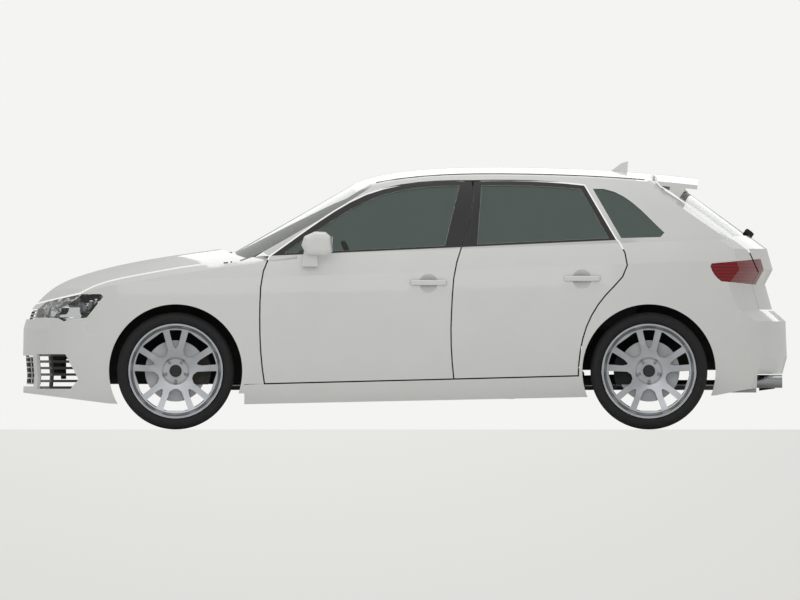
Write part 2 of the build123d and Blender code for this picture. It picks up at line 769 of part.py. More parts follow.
spoiler_face = [(-1400, 1300), (-1400, 1450), (-1590, 1450), (-1627, 1392), (-1619, 1300)]
fin_face = [(-1466, 1318), (-1521, 1284), (-1566, 1345), (-1600, 1380), (-1480, 1400)]
with BuildPart() as spoiler_half:
    add(side_region(spoiler_face, 0, 0, spoiler_half_width))
    add(space_above(roof_line, roof_edge_drop, spoiler_wall), mode=Mode.INTERSECT)
    add(side_region(fin_face, 0, spoiler_half_width - 22, spoiler_half_width))
    add(space_above(roof_line, roof_edge_drop, 0), mode=Mode.SUBTRACT)
    add(side_outer, mode=Mode.SUBTRACT)
    add(tailgate_room, mode=Mode.INTERSECT)
export_piece(mirrored_pair(spoiler_half.part), "spoiler")

lamp = intersection(side_region(tail_lamp_face, 0, tail_lamp_inner_y), side_outer)
lamp = less(lamp, post(tail_axis_x, 0, tail_lamp_depth_radius, 0, cutter_top))
export_piece(mirrored_pair(less(lamp, tailgate_space)), "tail_lamps")
export_piece(mirrored_pair(intersection(lamp, tailgate_room)), "tailgate_lamps")

# Rear bumper, diffuser and exhaust
under_tail = [
    (-1500, 180), (-1723, 189), (-1881, 220), (-1952, 229), (-1956, 307), (-2300, 312), (-2300, 0),
    (-1500, 0),
]
bumper = intersection(side_region(rear_bumper_face), side_outer)
bumper = less(bumper, lower_block(panel_wall, -2200, -1300), rear_arch, tailgate_space, tail_lamp_space)
bumper = less(bumper, side_region(under_tail))
export_piece(mirrored_pair(bumper), "rear_bumper")
with BuildPart() as exhaust_half:
    add(slab(-1950, -1760, 0, 560, 205, 300))
    for y in tailpipe_offsets:
        add(bar((-1945, y, tailpipe_z), (-2094, y, tailpipe_z), tailpipe_radius))
        add(bar((-1960, y, tailpipe_z), (-2100, y, tailpipe_z), tailpipe_radius - 4), mode=Mode.SUBTRACT)
    add(bar((-1800, 0, tailpipe_z - 20), (1000, 0, tailpipe_z - 20), 28))
export_piece(mirrored_pair(exhaust_half.part), "exhaust")
with BuildPart() as diffuser_half:
    add(side_region([(-1965, 215), (-2062, 228), (-2140, 305), (-1965, 302)], 0, 0, 362))
    add(lower_block(6, -2200, -1300), mode=Mode.INTERSECT)
    for y in diffuser_fins:
        add(slab(-2200, -1960, y - 30, y + 30, 200, 262), mode=Mode.SUBTRACT)
export_piece(mirrored_pair(diffuser_half.part), "diffuser")

# Floor, tunnel, firewall, boot floor and rear wheel houses
house_radius = arch_radius + sheet_wall
rear_house = cylinder_across(rear_axle_x, tyre_radius, house_radius, arch_inner_y - sheet_wall, 800)
with BuildPart() as floor_half:
    add(rear_house)
    add(slab(-2200, 0, 0, cutter_half_width, 0, boot_floor_z), mode=Mode.SUBTRACT)
    add(slab(kick_up_x, firewall_x, 0, 800, floor_z, floor_z + sheet_wall))
    add(slab(kick_up_x - sheet_wall, kick_up_x, 0, 800, floor_z, boot_floor_z))
    add(slab(-1930, kick_up_x, 0, 800, boot_floor_z, boot_floor_z + sheet_wall))
    add(slab(firewall_x, firewall_x + sheet_wall, 0, 640, floor_z, firewall_top))
    add(slab(kick_up_x, firewall_x, 0, tunnel_half, floor_z, tunnel_top))
    room_half = tunnel_half - sheet_wall
    room_top = tunnel_top - sheet_wall
    add(slab(kick_up_x - 50, firewall_x + 50, 0, room_half, 0, room_top), mode=Mode.SUBTRACT)
    add(rear_arch, mode=Mode.SUBTRACT)
    add(lower_block(side_wall + seat_gap, -2200, 905), mode=Mode.INTERSECT)
export_piece(mirrored_pair(floor_half.part), "floor_pan")

# Front rails, radiator carrier, wheel liners, scuttle and the bonnet hinge brackets
liner_outer = cylinder_across(front_axle_x, tyre_radius, liner_radius + sheet_wall / 2, rail_outer_y, 900)
liner_inner = cylinder_across(front_axle_x, tyre_radius, liner_radius, arch_inner_y, 900)
rail_start_x = firewall_x + sheet_wall + seat_gap
tray_z = firewall_top + seat_gap
cheek_low_y = bonnet_arm_y - 16
cheek_high_y = bonnet_arm_y + 18
with BuildPart() as front_frame_half:
    add(liner_outer)
    add(liner_inner, mode=Mode.SUBTRACT)
    add(slab(800, 1800, 0, cutter_half_width, 0, 252), mode=Mode.SUBTRACT)
    add(skin_inner, mode=Mode.INTERSECT)
    add(slab(rail_start_x, 1960, rail_outer_y - 70, rail_outer_y, 390, 480))
    add(slab(1910, 1960, 0, rail_outer_y, 300, 560))
    add(slab(1880, 1910, 0, 330, 280, 640))
with BuildPart() as scuttle_half:
    add(bonnet_inner)
    add(bonnet_inner.moved(Location((0, 0, -sheet_wall))), mode=Mode.SUBTRACT)
    add(slab(960, 1100, 0, 560, 900), mode=Mode.INTERSECT)
    add(post(bonnet_rear_x - cowl_radius - shut_gap, 0, cowl_radius, 0, cutter_top), mode=Mode.INTERSECT)
    add(intersection(slab(960, 968, 0, 560, tray_z), bonnet_inner))
    add(slab(firewall_x, 968, 0, 640, tray_z, tray_z + sheet_wall))
    arm_slot = slab(bonnet_pin_x - 20, 980, bonnet_arm_y - 6, arm_far_y + 6, tray_z - 10, tray_z + 20)
    add(arm_slot, mode=Mode.SUBTRACT)
    for y in [cheek_low_y, cheek_high_y]:
        add(slab(bonnet_pin_x - 14, bonnet_pin_x + 14, y, y + 8, tray_z, bonnet_pin_z + 12))
    add(cylinder_across(bonnet_pin_x, bonnet_pin_z, hinge_pin, cheek_low_y, cheek_high_y + 8))
export_piece(mirrored_pair(front_frame_half.part), "front_frame")
export_piece(mirrored_pair(scuttle_half.part), "scuttle")

# Grille bars behind the bumper's openings
with BuildPart() as grille_half:
    for z in [622, 640, 658]:
        add(slab(1700, 2300, 0, head_lamp_inner_y - 4, z - 4, z + 4))
    for z in [255, 285, 315, 345, 375, 400]:
        add(slab(1700, 2300, 0, 446, z - 4, z + 4))
    add(slab(1700, 2300, 430, 446, 250, 404))
    for y in [0, head_lamp_inner_y - 12]:
        add(slab(1700, 2300, y, y + 8, 618, 662))
    for y in [0, 150, 300]:
        add(slab(1700, 2300, y, y + 8, 251, 404))
    add(slab(1700, 2300, 0, 30, 400, 622))
    add(less(corner_intake, *[slab(1700, 2300, 470, 950, z, z + 22) for z in [240, 276, 312, 348, 384]]))
    add(slab(1700, 2300, 640, 652, 226, 418))
    add(less(skin_inner, skin_inner.moved(Location((-grille_depth, 0, 0)))), mode=Mode.INTERSECT)
export_piece(mirrored_pair(grille_half.part), "grille")

# Engine and gearbox, front subframe with its lower arms
with BuildPart() as engine:
    add(slab(1040, 1520, -330, 330, subframe_top + seat_gap, 640))
    add(slab(1120, 1440, -300, 300, 640, 830))
export_piece(engine.part, "engine")
with BuildPart() as subframe_half:
    add(slab(1150, 1400, 0, rail_outer_y - 7, 205, subframe_top))
    add(slab(1230, 1320, rail_outer_y - 65, rail_outer_y - 7, 205, 390 - seat_gap))
    with BuildSketch(Plane.XY.offset(200)):
        with BuildLine():
            Polyline((1170, 430), (1380, 430), (1292, king_pin_y), (1254, king_pin_y), close=True)
        make_face()
        with Locations((front_axle_x, king_pin_y)):
            Circle(20)
    extrude(amount=24)
    add(post(front_axle_x, king_pin_y, king_pin + hinge_fit, 150, 260), mode=Mode.SUBTRACT)
export_piece(mirrored_pair(subframe_half.part), "front_subframe")


def hub_carrier(axle_x, caliper_side):
    """Upright with its bearing bore, and a brake caliper that straddles the disc."""
    with BuildPart() as carrier:
        add(slab(axle_x - 45, axle_x + 45, 650, 690, 229, 430))
        add(cylinder_across(axle_x, tyre_radius, 48, 640, 694))
        reach = sorted([axle_x, axle_x + caliper_side * 150])
        add(slab(reach[0], reach[1], 650, 690, 290, 360))
        far = sorted([axle_x + caliper_side * 92, axle_x + caliper_side * 260])
        jaw = less(
            cylinder_across(axle_x, tyre_radius, disc_radius + 26, 676, 746),
            cylinder_across(axle_x, tyre_radius, disc_radius + 7, 694, 730),
        )
        add(intersection(jaw, slab(far[0], far[1], 600, 800, tyre_radius - 75, tyre_radius + 75)))
        add(cylinder_across(axle_x, tyre_radius, stub_radius + hinge_fit, 500, 900), mode=Mode.SUBTRACT)
    return carrier.part


knuckle = joined(
    hub_carrier(front_axle_x, -1),
    post(front_axle_x, king_pin_y, king_pin, 192, 240),
)
both_sides(knuckle, "front_knuckle")

# Rear axle: beam, trailing arms, spring seats and hub carriers
with BuildPart() as axle_half:
    add(hub_carrier(rear_axle_x, 1))
    add(slab(rear_axle_x - 60, rear_axle_x + 20, 0, 652, 282, 324))
    add(bar((rear_axle_x + 430, 560, 270), (rear_axle_x - 20, 610, 285), 28))
    add(slab(rear_axle_x + 400, rear_axle_x + 460, 530, 590, 240, boot_floor_z - seat_gap))
    add(post(rear_axle_x - 20, 390, 48, 300, boot_floor_z - seat_gap))
    add(cylinder_across(rear_axle_x, tyre_radius, stub_radius + hinge_fit, 630, 900), mode=Mode.SUBTRACT)
export_piece(mirrored_pair(axle_half.part), "rear_axle")


# Wheels: barrel, five double spokes with shield windows, hub, brake disc and stub shaft
def polar(radius, angle):
    """Point in the wheel's plane."""
    return (radius * cos(radians(angle)), radius * sin(radians(angle)))


shield_window = [(118, 0), (150, 6.5), (231, 9), (231, -9), (150, -6.5)]
wide_window = [(100, 6), (120, 16), (231, 18), (231, -18), (120, -16), (100, -6)]
with BuildPart() as wheel:
    with BuildSketch(Plane.XZ):
        with BuildLine():
            Polyline(
                (rim_radius, 104), (rim_radius, 96), (246, 90), (240, 60), (232, -40), (240, -84),
                (258, -96), (258, -104), (250, -104), (232, -90), (224, -40), (231, 56), (238, 84),
                (252, 104), close=True,
            )
        make_face()
        with BuildLine():
            Polyline((0, 20), (70, 20), (234, 50), (236, 84), (78, 62), (66, 54), (0, 54), close=True)
        make_face()
    revolve(axis=Axis.Z)
    for spoke in range(spoke_count):
        middle = 90 + spoke * 360 / spoke_count
        for window, turn in [(shield_window, 0), (wide_window, 180 / spoke_count)]:
            with BuildSketch() as opening:
                with BuildLine():
                    Polyline(*[polar(radius, middle + turn + angle) for radius, angle in window], close=True)
                make_face()
                fillet(opening.vertices(), spoke_fillet)
            extrude(amount=120, mode=Mode.SUBTRACT)
    with BuildSketch(Plane.XY.offset(-64)):
        Circle(70)
    extrude(amount=90)
    with BuildSketch(Plane.XY.offset(-65)):
        Circle(disc_radius)
    extrude(amount=24)
    with BuildSketch(Plane.XY.offset(-125)):
        Circle(stub_radius)
    extrude(amount=80)
with BuildPart() as tyre:
    with BuildSketch(Plane.XZ):
        with BuildLine():
            half = tyre_width / 2
            bead = rim_radius + 2 * seat_gap
            wall_points = [(bead, 26), (bead + 18, 2), (bead + 34, 0), (tyre_radius - 9, 14)]
            outer = Spline([(radius, half - depth) for radius, depth in wall_points])
            inner = Spline([(radius, depth - half) for radius, depth in wall_points])
            Polyline(outer @ 1, (tyre_radius, half - 30), (tyre_radius, 30 - half), inner @ 1)
            Line(inner @ 0, outer @ 0)
        make_face()
    revolve(axis=Axis.Z)
for end, axle_x in [("front", front_axle_x), ("rear", rear_axle_x)]:
    seat = Plane(origin=(axle_x, track_half, tyre_radius), x_dir=(-1, 0, 0), z_dir=(0, 1, 0)).location
    both_sides(seat * wheel.part, f"{end}_wheel")
    both_sides(seat * tyre.part, f"{end}_tyre")

# Cabin: dashboard, seats and steering wheel
with BuildPart() as dashboard:
    dash_face = [
        (700, 420), (620, 560), (470, 640), (440, 760), (455, 860), (500, 930), (600, 955), (700, 930),
        (firewall_x - seat_gap, 860), (firewall_x - seat_gap, 420),
    ]
    add(side_region(dash_face, 0, -690, 690))
    add(slab(-150, 720, -120, 120, tunnel_top + seat_gap, 480))
    column_start = (column_base[0] + column_run / 5, column_base[1], column_base[2] - column_rise / 5)
    column_end = (column_base[0] + column_run, column_base[1], column_base[2] - column_rise)
    add(bar(column_start, column_end, 34), mode=Mode.SUBTRACT)
export_piece(dashboard.part, "dashboard")
column_dir = Vector(-column_run, 0, column_rise).normalized()
wheel_plane = Plane(origin=column_base, x_dir=(0, 1, 0), z_dir=column_dir)
with BuildPart() as steering_wheel:
    with BuildSketch(wheel_plane):
        Circle(46)
        for angle in [0, 180, 270]:
            with Locations(Location((0, 0), angle)):
                with Locations((90, 0)):
                    Rectangle(170, 30)
    extrude(amount=12, both=True)
    with Locations(wheel_plane.location):
        Torus(steering_radius, 15)
    with BuildSketch(wheel_plane):
        Circle(20)
    extrude(amount=-260)
export_piece(steering_wheel.part, "steering_wheel")

cushion_face = [
    (330, 300), (345, 465), (300, 520), (-120, 480), (-60, 500), (-250, 1010), (-330, 1020), (-365, 990),
    (-230, 440), (-170, 300),
]
head_face = [(-290, 1045), (-275, 1070), (-320, 1185), (-372, 1195), (-395, 1060), (-370, 1035)]
with BuildPart() as front_seat:
    add(side_region(cushion_face, 0, seat_y - 235, seat_y + 235))
    add(side_region(head_face, 0, seat_y - 130, seat_y + 130))
    for y in [seat_y - 60, seat_y + 60]:
        add(bar((-290, y, 960), (-330, y, 1090), 7))
    for y in [seat_y - 210, seat_y + 190]:
        add(slab(-160, 320, y, y + 20, floor_z + sheet_wall + seat_gap, 310))
export_piece(mirrored_pair(front_seat.part), "front_seats")
bench_z = boot_floor_z + sheet_wall + seat_gap
with BuildPart() as bench_half:
    add(side_region([(-615, bench_z), (-600, 480), (-640, 505), (-975, 470), (-975, bench_z)], 0, 0, 600))
    back_face = [
        (-975, bench_z), (-930, 490), (-1080, 900), (-1110, 960), (-1180, 960), (-1190, 880),
        (-1060, bench_z),
    ]
    add(side_region(back_face, 0, 0, 440))
    add(intersection(side_region(back_face, 0, 0, 610), slab(-1300, -900, 0, 700, 715, 1000)))
export_piece(mirrored_pair(bench_half.part), "rear_bench")

# Door mirrors
housing_face = [
    (400, 985), (412, 1072), (440, 1096), (500, 1099), (560, 1072), (576, 1020), (545, 972), (440, 965),
]
foot_face = [(484, 905), (571, 905), (560, 1000), (490, 1000)]
with BuildPart() as mirror_arm:
    add(side_region(housing_face, 0, 892, mirror_reach))
    fillet(mirror_arm.edges().filter_by(Axis.Y), 18)
    fillet(mirror_arm.edges().group_by(Axis.Y)[-1], 34)
    fillet(mirror_arm.edges().group_by(Axis.Y)[0], 12)
    add(side_region(foot_face, 0, 780, 930))
    add(side_outer, mode=Mode.SUBTRACT)
both_sides(mirror_arm.part, "door_mirror")
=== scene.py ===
"""Looks for the hot hatchback: paint, glass, lamps, trim, padded seats, studio. Metres, frame as packed."""
from math import cos, pi, radians, sin

import bpy
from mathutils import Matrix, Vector


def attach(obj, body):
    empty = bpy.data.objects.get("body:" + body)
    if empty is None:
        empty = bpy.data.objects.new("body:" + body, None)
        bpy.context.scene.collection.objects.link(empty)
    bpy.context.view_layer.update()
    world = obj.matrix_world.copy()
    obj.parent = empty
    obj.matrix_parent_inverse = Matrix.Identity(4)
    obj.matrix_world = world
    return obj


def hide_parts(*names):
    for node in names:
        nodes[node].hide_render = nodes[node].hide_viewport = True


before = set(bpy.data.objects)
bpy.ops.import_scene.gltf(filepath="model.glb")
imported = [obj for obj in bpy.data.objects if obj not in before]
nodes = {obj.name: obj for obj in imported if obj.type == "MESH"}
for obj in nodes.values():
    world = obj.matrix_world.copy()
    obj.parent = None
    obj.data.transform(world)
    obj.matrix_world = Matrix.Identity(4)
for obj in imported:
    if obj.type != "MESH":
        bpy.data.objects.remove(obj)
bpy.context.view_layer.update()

MM = 0.001
FRONT_AXLE_X = 1.273
REAR_AXLE_X = -1.354
TYRE_RADIUS = 0.325
SIDES = [("left", 1), ("right", -1)]
BELT_SLOPE = 0.0456
BELT_HEIGHT = 0.998


# Materials

def linear(hex_colour):
    """Linear RGBA from an sRGB hex value."""
    channels = [int(hex_colour[i:i + 2], 16) / 255 for i in (1, 3, 5)]
    return tuple(c / 12.92 if c <= 0.04045 else ((c + 0.055) / 1.055) ** 2.4 for c in channels) + (1.0,)


def add_node(material, kind, settings=None, links=None):
    """Adds one node with its settings, and links from other nodes' outputs into its inputs."""
    tree = material.node_tree
    node = tree.nodes.new(kind)
    for name, value in (settings or {}).items():
        if isinstance(name, int) or name in node.inputs:
            node.inputs[name].default_value = value
        else:
            setattr(node, name, value)
    for name, (source, output) in (links or {}).items():
        tree.links.new(source.outputs[output], node.inputs[name])
    return node


def new_material(name, base, rough, metallic=0.0, **sockets):
    """A named material with its shader set, and the shader to link patterns to."""
    material = bpy.data.materials.new(name)
    material.use_nodes = True
    shader = material.node_tree.nodes["Principled BSDF"]
    shader.inputs["Base Color"].default_value = linear(base)
    shader.inputs["Roughness"].default_value = rough
    shader.inputs["Metallic"].default_value = metallic
    for socket, value in sockets.items():
        shader.inputs[socket.replace("_", " ")].default_value = value
    return material, shader


def tint(material, shader, texture, output, low, high, start=0.35, end=0.65):
    """Lets a pattern vary the colour between two hex values."""
    ramp = add_node(material, "ShaderNodeValToRGB", links={"Fac": (texture, output)})
    ramp.color_ramp.elements[0].position = start
    ramp.color_ramp.elements[0].color = linear(low)
    ramp.color_ramp.elements[1].position = end
    ramp.color_ramp.elements[1].color = linear(high)
    material.node_tree.links.new(ramp.outputs["Color"], shader.inputs["Base Color"])
    return ramp


def rough_between(material, shader, texture, output, low, high):
    """Lets a pattern vary the roughness between two values."""
    spread = add_node(
        material, "ShaderNodeMapRange", {"To Min": low, "To Max": high}, {"Value": (texture, output)}
    )
    material.node_tree.links.new(spread.outputs["Result"], shader.inputs["Roughness"])


def bump(material, shader, texture, output, height_mm, strength=0.4):
    """Lets a pattern raise the surface by a real height."""
    node = add_node(
        material, "ShaderNodeBump", {"Strength": strength, "Distance": height_mm * MM},
        {"Height": (texture, output)},
    )
    material.node_tree.links.new(node.outputs["Normal"], shader.inputs["Normal"])


def noise(material, size_mm, detail=4.0, roughness=0.55):
    """Noise over Object coordinates whose grains have a real size."""
    place = add_node(material, "ShaderNodeTexCoord")
    return add_node(
        material, "ShaderNodeTexNoise",
        {"Scale": 1 / (size_mm * MM), "Detail": detail, "Roughness": roughness},
        {"Vector": (place, "Object")},
    )


def wave_scale(period_mm):
    """Scale at which a wave texture repeats at a real distance."""
    return pi / (10 * period_mm * MM)


# White clear-coated car paint: a wet-looking coat over a very slightly mottled base, with fine orange peel
paint, shader = new_material("white_clearcoat_paint", "#E6E7E5", 0.38, Coat_Weight=0.85, Coat_Roughness=0.04)
mottle = noise(paint, 260, 2.0)
tint(paint, shader, mottle, "Fac", "#E5E6E4", "#E7E8E6")
peel = noise(paint, 4, 1.0)
bump(paint, shader, peel, "Fac", 0.03, 0.12)

def painted_gap_shade_mask(material):
    """Painted shade: one in the door openings, on the edges of the shut gaps and on surfaces behind the skin,
    to darken them as if in shadow.
    """
    place = add_node(material, "ShaderNodeTexCoord")
    axes = add_node(material, "ShaderNodeSeparateXYZ", links={0: (place, "Object")})
    facing = add_node(material, "ShaderNodeSeparateXYZ", links={0: (place, "Normal")})
    hand = add_node(material, "ShaderNodeMath", {"operation": "SIGN"}, {0: (axes, "Y")})
    outward = add_node(
        material, "ShaderNodeMath", {"operation": "MULTIPLY"}, {0: (facing, "Y"), 1: (hand, "Value")}
    )
    edge = add_node(material, "ShaderNodeMath", {"operation": "LESS_THAN", 1: 0.22}, {0: (outward, "Value")})
    reach = add_node(material, "ShaderNodeMath", {"operation": "ABSOLUTE"}, {0: (axes, "Y")})
    deep = add_node(material, "ShaderNodeMath", {"operation": "LESS_THAN", 1: 0.79}, {0: (reach, "Value")})
    low = add_node(material, "ShaderNodeMath", {"operation": "LESS_THAN", 1: 0.9}, {0: (axes, "Z")})
    behind = add_node(
        material, "ShaderNodeMath", {"operation": "MULTIPLY"}, {0: (deep, "Value"), 1: (low, "Value")}
    )
    either = add_node(
        material, "ShaderNodeMath", {"operation": "MAXIMUM"}, {0: (edge, "Value"), 1: (behind, "Value")}
    )
    stretch = add_node(
        material, "ShaderNodeMath", {"operation": "COMPARE", 1: -0.18, 2: 1.10}, {0: (axes, "X")}
    )
    mask = add_node(
        material, "ShaderNodeMath", {"operation": "MULTIPLY"}, {0: (either, "Value"), 1: (stretch, "Value")}
    )
    return axes, mask


def door_coat(name, dark_frames):
    """White coat with painted shade on the jambs and shut-gap edges, and black window frames above the belt
    line if asked for.
    """
    material, shader = new_material(name, "#E6E7E5", 0.38, Coat_Weight=0.85, Coat_Roughness=0.04)
    mottle = noise(material, 260, 2.0)
    shade = tint(material, shader, mottle, "Fac", "#E5E6E4", "#E7E8E6")
    axes, mask = painted_gap_shade_mask(material)
    if dark_frames:
        along_belt = add_node(
            material, "ShaderNodeMath", {"operation": "MULTIPLY_ADD", 1: BELT_SLOPE},
            {0: (axes, "X"), 2: (axes, "Z")},
        )
        above_belt = add_node(
            material, "ShaderNodeMath", {"operation": "GREATER_THAN", 1: BELT_HEIGHT},
            {0: (along_belt, "Value")},
        )
        mask = add_node(
            material, "ShaderNodeMath", {"operation": "MAXIMUM"},
            {0: (mask, "Value"), 1: (above_belt, "Value")},
        )
    # Near-black: the real black of the window frames, and painted shade on the jambs and gap edges
    frame_black_and_gap_shade_mix = add_node(
        material, "ShaderNodeMix", {"data_type": "RGBA", 7: linear("#0C0C0E")},
        {0: (mask, "Value"), 6: (shade, "Color")},
    )
    material.node_tree.links.new(frame_black_and_gap_shade_mix.outputs[2], shader.inputs["Base Color"])
    peel = noise(material, 4, 1.0)
    bump(material, shader, peel, "Fac", 0.03, 0.12)
    return material


# Door paint: white coat, painted shade on the shut-gap edges, gloss black window frames
door_paint = door_coat("white_paint_black_frames_gap_shade", True)

# Body side paint: white coat with painted shade on the door jambs and gap edges
side_paint = door_coat("white_paint_painted_gap_shade", False)

# Laminated and tempered car glass, faintly grey-green
glass, shader = new_material("tinted_car_glass", "#9FAAA6", 0.02, IOR=1.5, Transmission_Weight=1.0)
streak = noise(glass, 180, 2.0)
rough_between(glass, shader, streak, "Fac", 0.01, 0.04)

# Clear polycarbonate lamp cover
lens, shader = new_material("clear_polycarbonate_lens", "#F4F6F8", 0.03, IOR=1.58, Transmission_Weight=1.0)
haze = noise(lens, 60, 2.0)
rough_between(lens, shader, haze, "Fac", 0.02, 0.06)

# Red acrylic tail lamp, moulded with fine level flutes
red_lens, shader = new_material("red_acrylic_lens", "#8E0F14", 0.12, IOR=1.49, Transmission_Weight=0.25)
place = add_node(red_lens, "ShaderNodeTexCoord")
flutes = add_node(
    red_lens, "ShaderNodeTexWave", {"wave_type": "BANDS", "bands_direction": "Z", "Scale": wave_scale(18)},
    {"Vector": (place, "Object")},
)
bump(red_lens, shader, flutes, "Fac", 0.6, 0.5)
tint(red_lens, shader, flutes, "Fac", "#7A0B10", "#A3161B", 0.1, 0.9)

# Black moulded plastic with a fine grain
trim, shader = new_material("black_moulded_plastic", "#17181A", 0.55, IOR=1.49)
grain = noise(trim, 1.6, 2.0)
bump(trim, shader, grain, "Fac", 0.08, 0.35)
rough_between(trim, shader, grain, "Fac", 0.45, 0.68)

# Gloss black plastic for the grille and pillar covers
gloss_black, shader = new_material("gloss_black_plastic", "#0B0B0D", 0.14, IOR=1.49, Coat_Weight=0.5)
fine = noise(gloss_black, 40, 2.0)
rough_between(gloss_black, shader, fine, "Fac", 0.1, 0.2)

# Painted cast alloy wheel: silver lacquer with a fine metallic grain, its tone varying a little in broad
# patches
alloy, shader = new_material(
    "silver_lacquered_alloy", "#B9BCC0", 0.3, 0.85, Coat_Weight=0.4, Coat_Roughness=0.1
)
flake = noise(alloy, 1.2, 1.0)
rough_between(alloy, shader, flake, "Fac", 0.24, 0.38)
cast = noise(alloy, 90, 2.0)
tint(alloy, shader, cast, "Fac", "#B2B5B9", "#C1C4C8")

def tyre_rubber(name, axle_x):
    """Dark, dry rubber with fine moulded rings round the axle on its walls and grooves round its tread."""
    material, shader = new_material(name, "#1B1B1C", 0.78, IOR=1.5)
    dust = noise(material, 35, 5.0)
    tint(material, shader, dust, "Fac", "#161617", "#222223")
    rough_between(material, shader, dust, "Fac", 0.68, 0.88)
    place = add_node(material, "ShaderNodeTexCoord")
    hub = add_node(
        material, "ShaderNodeMapping", {"Location": (-axle_x, 0, -TYRE_RADIUS), "Scale": (1, 0, 1)},
        {"Vector": (place, "Object")},
    )
    rings = add_node(
        material, "ShaderNodeTexWave",
        {"wave_type": "RINGS", "rings_direction": "SPHERICAL", "Scale": wave_scale(9)},
        {"Vector": (hub, "Vector")},
    )
    grooves = add_node(
        material, "ShaderNodeTexWave", {"bands_direction": "Y", "Scale": wave_scale(30)},
        {"Vector": (place, "Object")},
    )
    relief = add_node(
        material, "ShaderNodeMath", {"operation": "ADD"}, {0: (rings, "Fac"), 1: (grooves, "Fac")}
    )
    bump(material, shader, relief, "Value", 1.2, 0.6)
    return material


# Tyre rubber, one material for each axle because its rings lie round it
front_rubber = tyre_rubber("front_tyre_rubber", FRONT_AXLE_X)
rear_rubber = tyre_rubber("rear_tyre_rubber", REAR_AXLE_X)

# Phosphated and painted under-body steel, matt with dirt
steel, shader = new_material("painted_underbody_steel", "#2B2C2E", 0.6, 0.2)
dirt = noise(steel, 70, 6.0)
tint(steel, shader, dirt, "Fac", "#232426", "#37352F")
rough_between(steel, shader, dirt, "Fac", 0.5, 0.75)

# Polished stainless exhaust
stainless, shader = new_material("polished_stainless_steel", "#A9ABAD", 0.18, 1.0)
polish = noise(stainless, 8, 2.0)
rough_between(stainless, shader, polish, "Fac", 0.12, 0.28)

# Cast engine alloy
cast_alloy, shader = new_material("sand_cast_aluminium", "#8A8C8D", 0.5, 0.9)
sand = noise(cast_alloy, 4, 3.0)
bump(cast_alloy, shader, sand, "Fac", 0.3, 0.5)
rough_between(cast_alloy, shader, sand, "Fac", 0.4, 0.65)

# Grey cast iron of the hub carriers
iron, shader = new_material("grey_cast_iron", "#4A4A49", 0.6, 0.8)
scale = noise(iron, 6, 4.0)
tint(iron, shader, scale, "Fac", "#3F3F3F", "#5A5650")
bump(iron, shader, scale, "Fac", 0.3, 0.4)

# Woven seat cloth: warp and weft drawn at three times their real spacing so that they show
cloth, shader = new_material("woven_seat_cloth", "#24262A", 0.9, Sheen_Weight=0.25)
place = add_node(cloth, "ShaderNodeTexCoord")
warp = add_node(
    cloth, "ShaderNodeTexWave", {"bands_direction": "X", "Scale": wave_scale(6), "Distortion": 0.6},
    {"Vector": (place, "Object")},
)
weft = add_node(
    cloth, "ShaderNodeTexWave", {"bands_direction": "Y", "Scale": wave_scale(6), "Distortion": 0.6},
    {"Vector": (place, "Object")},
)
weave = add_node(
    cloth, "ShaderNodeMath", {"operation": "MULTIPLY"}, {0: (warp, "Fac"), 1: (weft, "Fac")}
)
bump(cloth, shader, weave, "Value", 0.6, 0.6)
tint(cloth, shader, weave, "Value", "#1B1D20", "#34373C", 0.1, 0.7)

# Silvered mirror glass
mirror_glass, shader = new_material("silvered_mirror_glass", "#D5D9DB", 0.03, 1.0)
smear = noise(mirror_glass, 60, 2.0)
rough_between(mirror_glass, shader, smear, "Fac", 0.01, 0.05)

# Reflector chrome inside the lamps
chrome, shader = new_material("vacuum_plated_reflector", "#D9DBDD", 0.08, 1.0)
plate = noise(chrome, 12, 2.0)
rough_between(chrome, shader, plate, "Fac", 0.05, 0.14)

FINISH = {
    paint: [
        "roof", "front_fenders", "front_bumper", "rear_bumper", "bonnet", "tailgate", "spoiler",
        "door_mirror_left", "door_mirror_right",
    ],
    side_paint: ["body_sides"],
    door_paint: ["front_door_left", "front_door_right", "rear_door_left", "rear_door_right"],
    glass: [
        "windscreen", "quarter_glass", "tailgate_glass", "front_door_glass_left", "front_door_glass_right",
        "rear_door_glass_left", "rear_door_glass_right",
    ],
    lens: ["headlamps"],
    red_lens: ["tail_lamps", "tailgate_lamps"],
    trim: ["diffuser", "dashboard", "scuttle", "steering_wheel"],
    gloss_black: ["grille"],
    steel: ["floor_pan", "front_frame", "front_subframe", "rear_axle"],
    stainless: ["exhaust"],
    cast_alloy: ["engine"],
    alloy: ["front_wheel_left", "front_wheel_right", "rear_wheel_left", "rear_wheel_right"],
    iron: ["front_knuckle_left", "front_knuckle_right"],
    front_rubber: ["front_tyre_left", "front_tyre_right"],
    rear_rubber: ["rear_tyre_left", "rear_tyre_right"],
    cloth: ["front_seats", "rear_bench"],
}
for finish, names in FINISH.items():
    for name in names:
        nodes[name].data.materials.clear()
        nodes[name].data.materials.append(finish)


# Modelling helpers

def deselect():
    if bpy.context.mode != "OBJECT":
        bpy.ops.object.mode_set(mode="OBJECT")
    bpy.ops.object.select_all(action="DESELECT")


def start(name):
    """Names the primitive that was just added and gives its object."""
    piece = bpy.context.object
    piece.name = name
    piece.data.name = name
    return piece


def settle(piece, finish, body):
    """Applies the piece's place, gives it its material and lets it ride on its body."""
    deselect()
    piece.select_set(True)
    bpy.context.view_layer.objects.active = piece
    bpy.ops.object.transform_apply(location=True, rotation=True, scale=True)
    piece.data.materials.clear()
    piece.data.materials.append(finish)
    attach(piece, body)
    return piece


def apply_modifier(piece, kind, **settings):
    """Adds a modifier and applies it at once."""
    modifier = piece.modifiers.new(kind.lower(), kind)
    for name, value in settings.items():
        setattr(modifier, name, value)
    bpy.context.view_layer.objects.active = piece
    bpy.ops.object.modifier_apply(modifier=modifier.name)


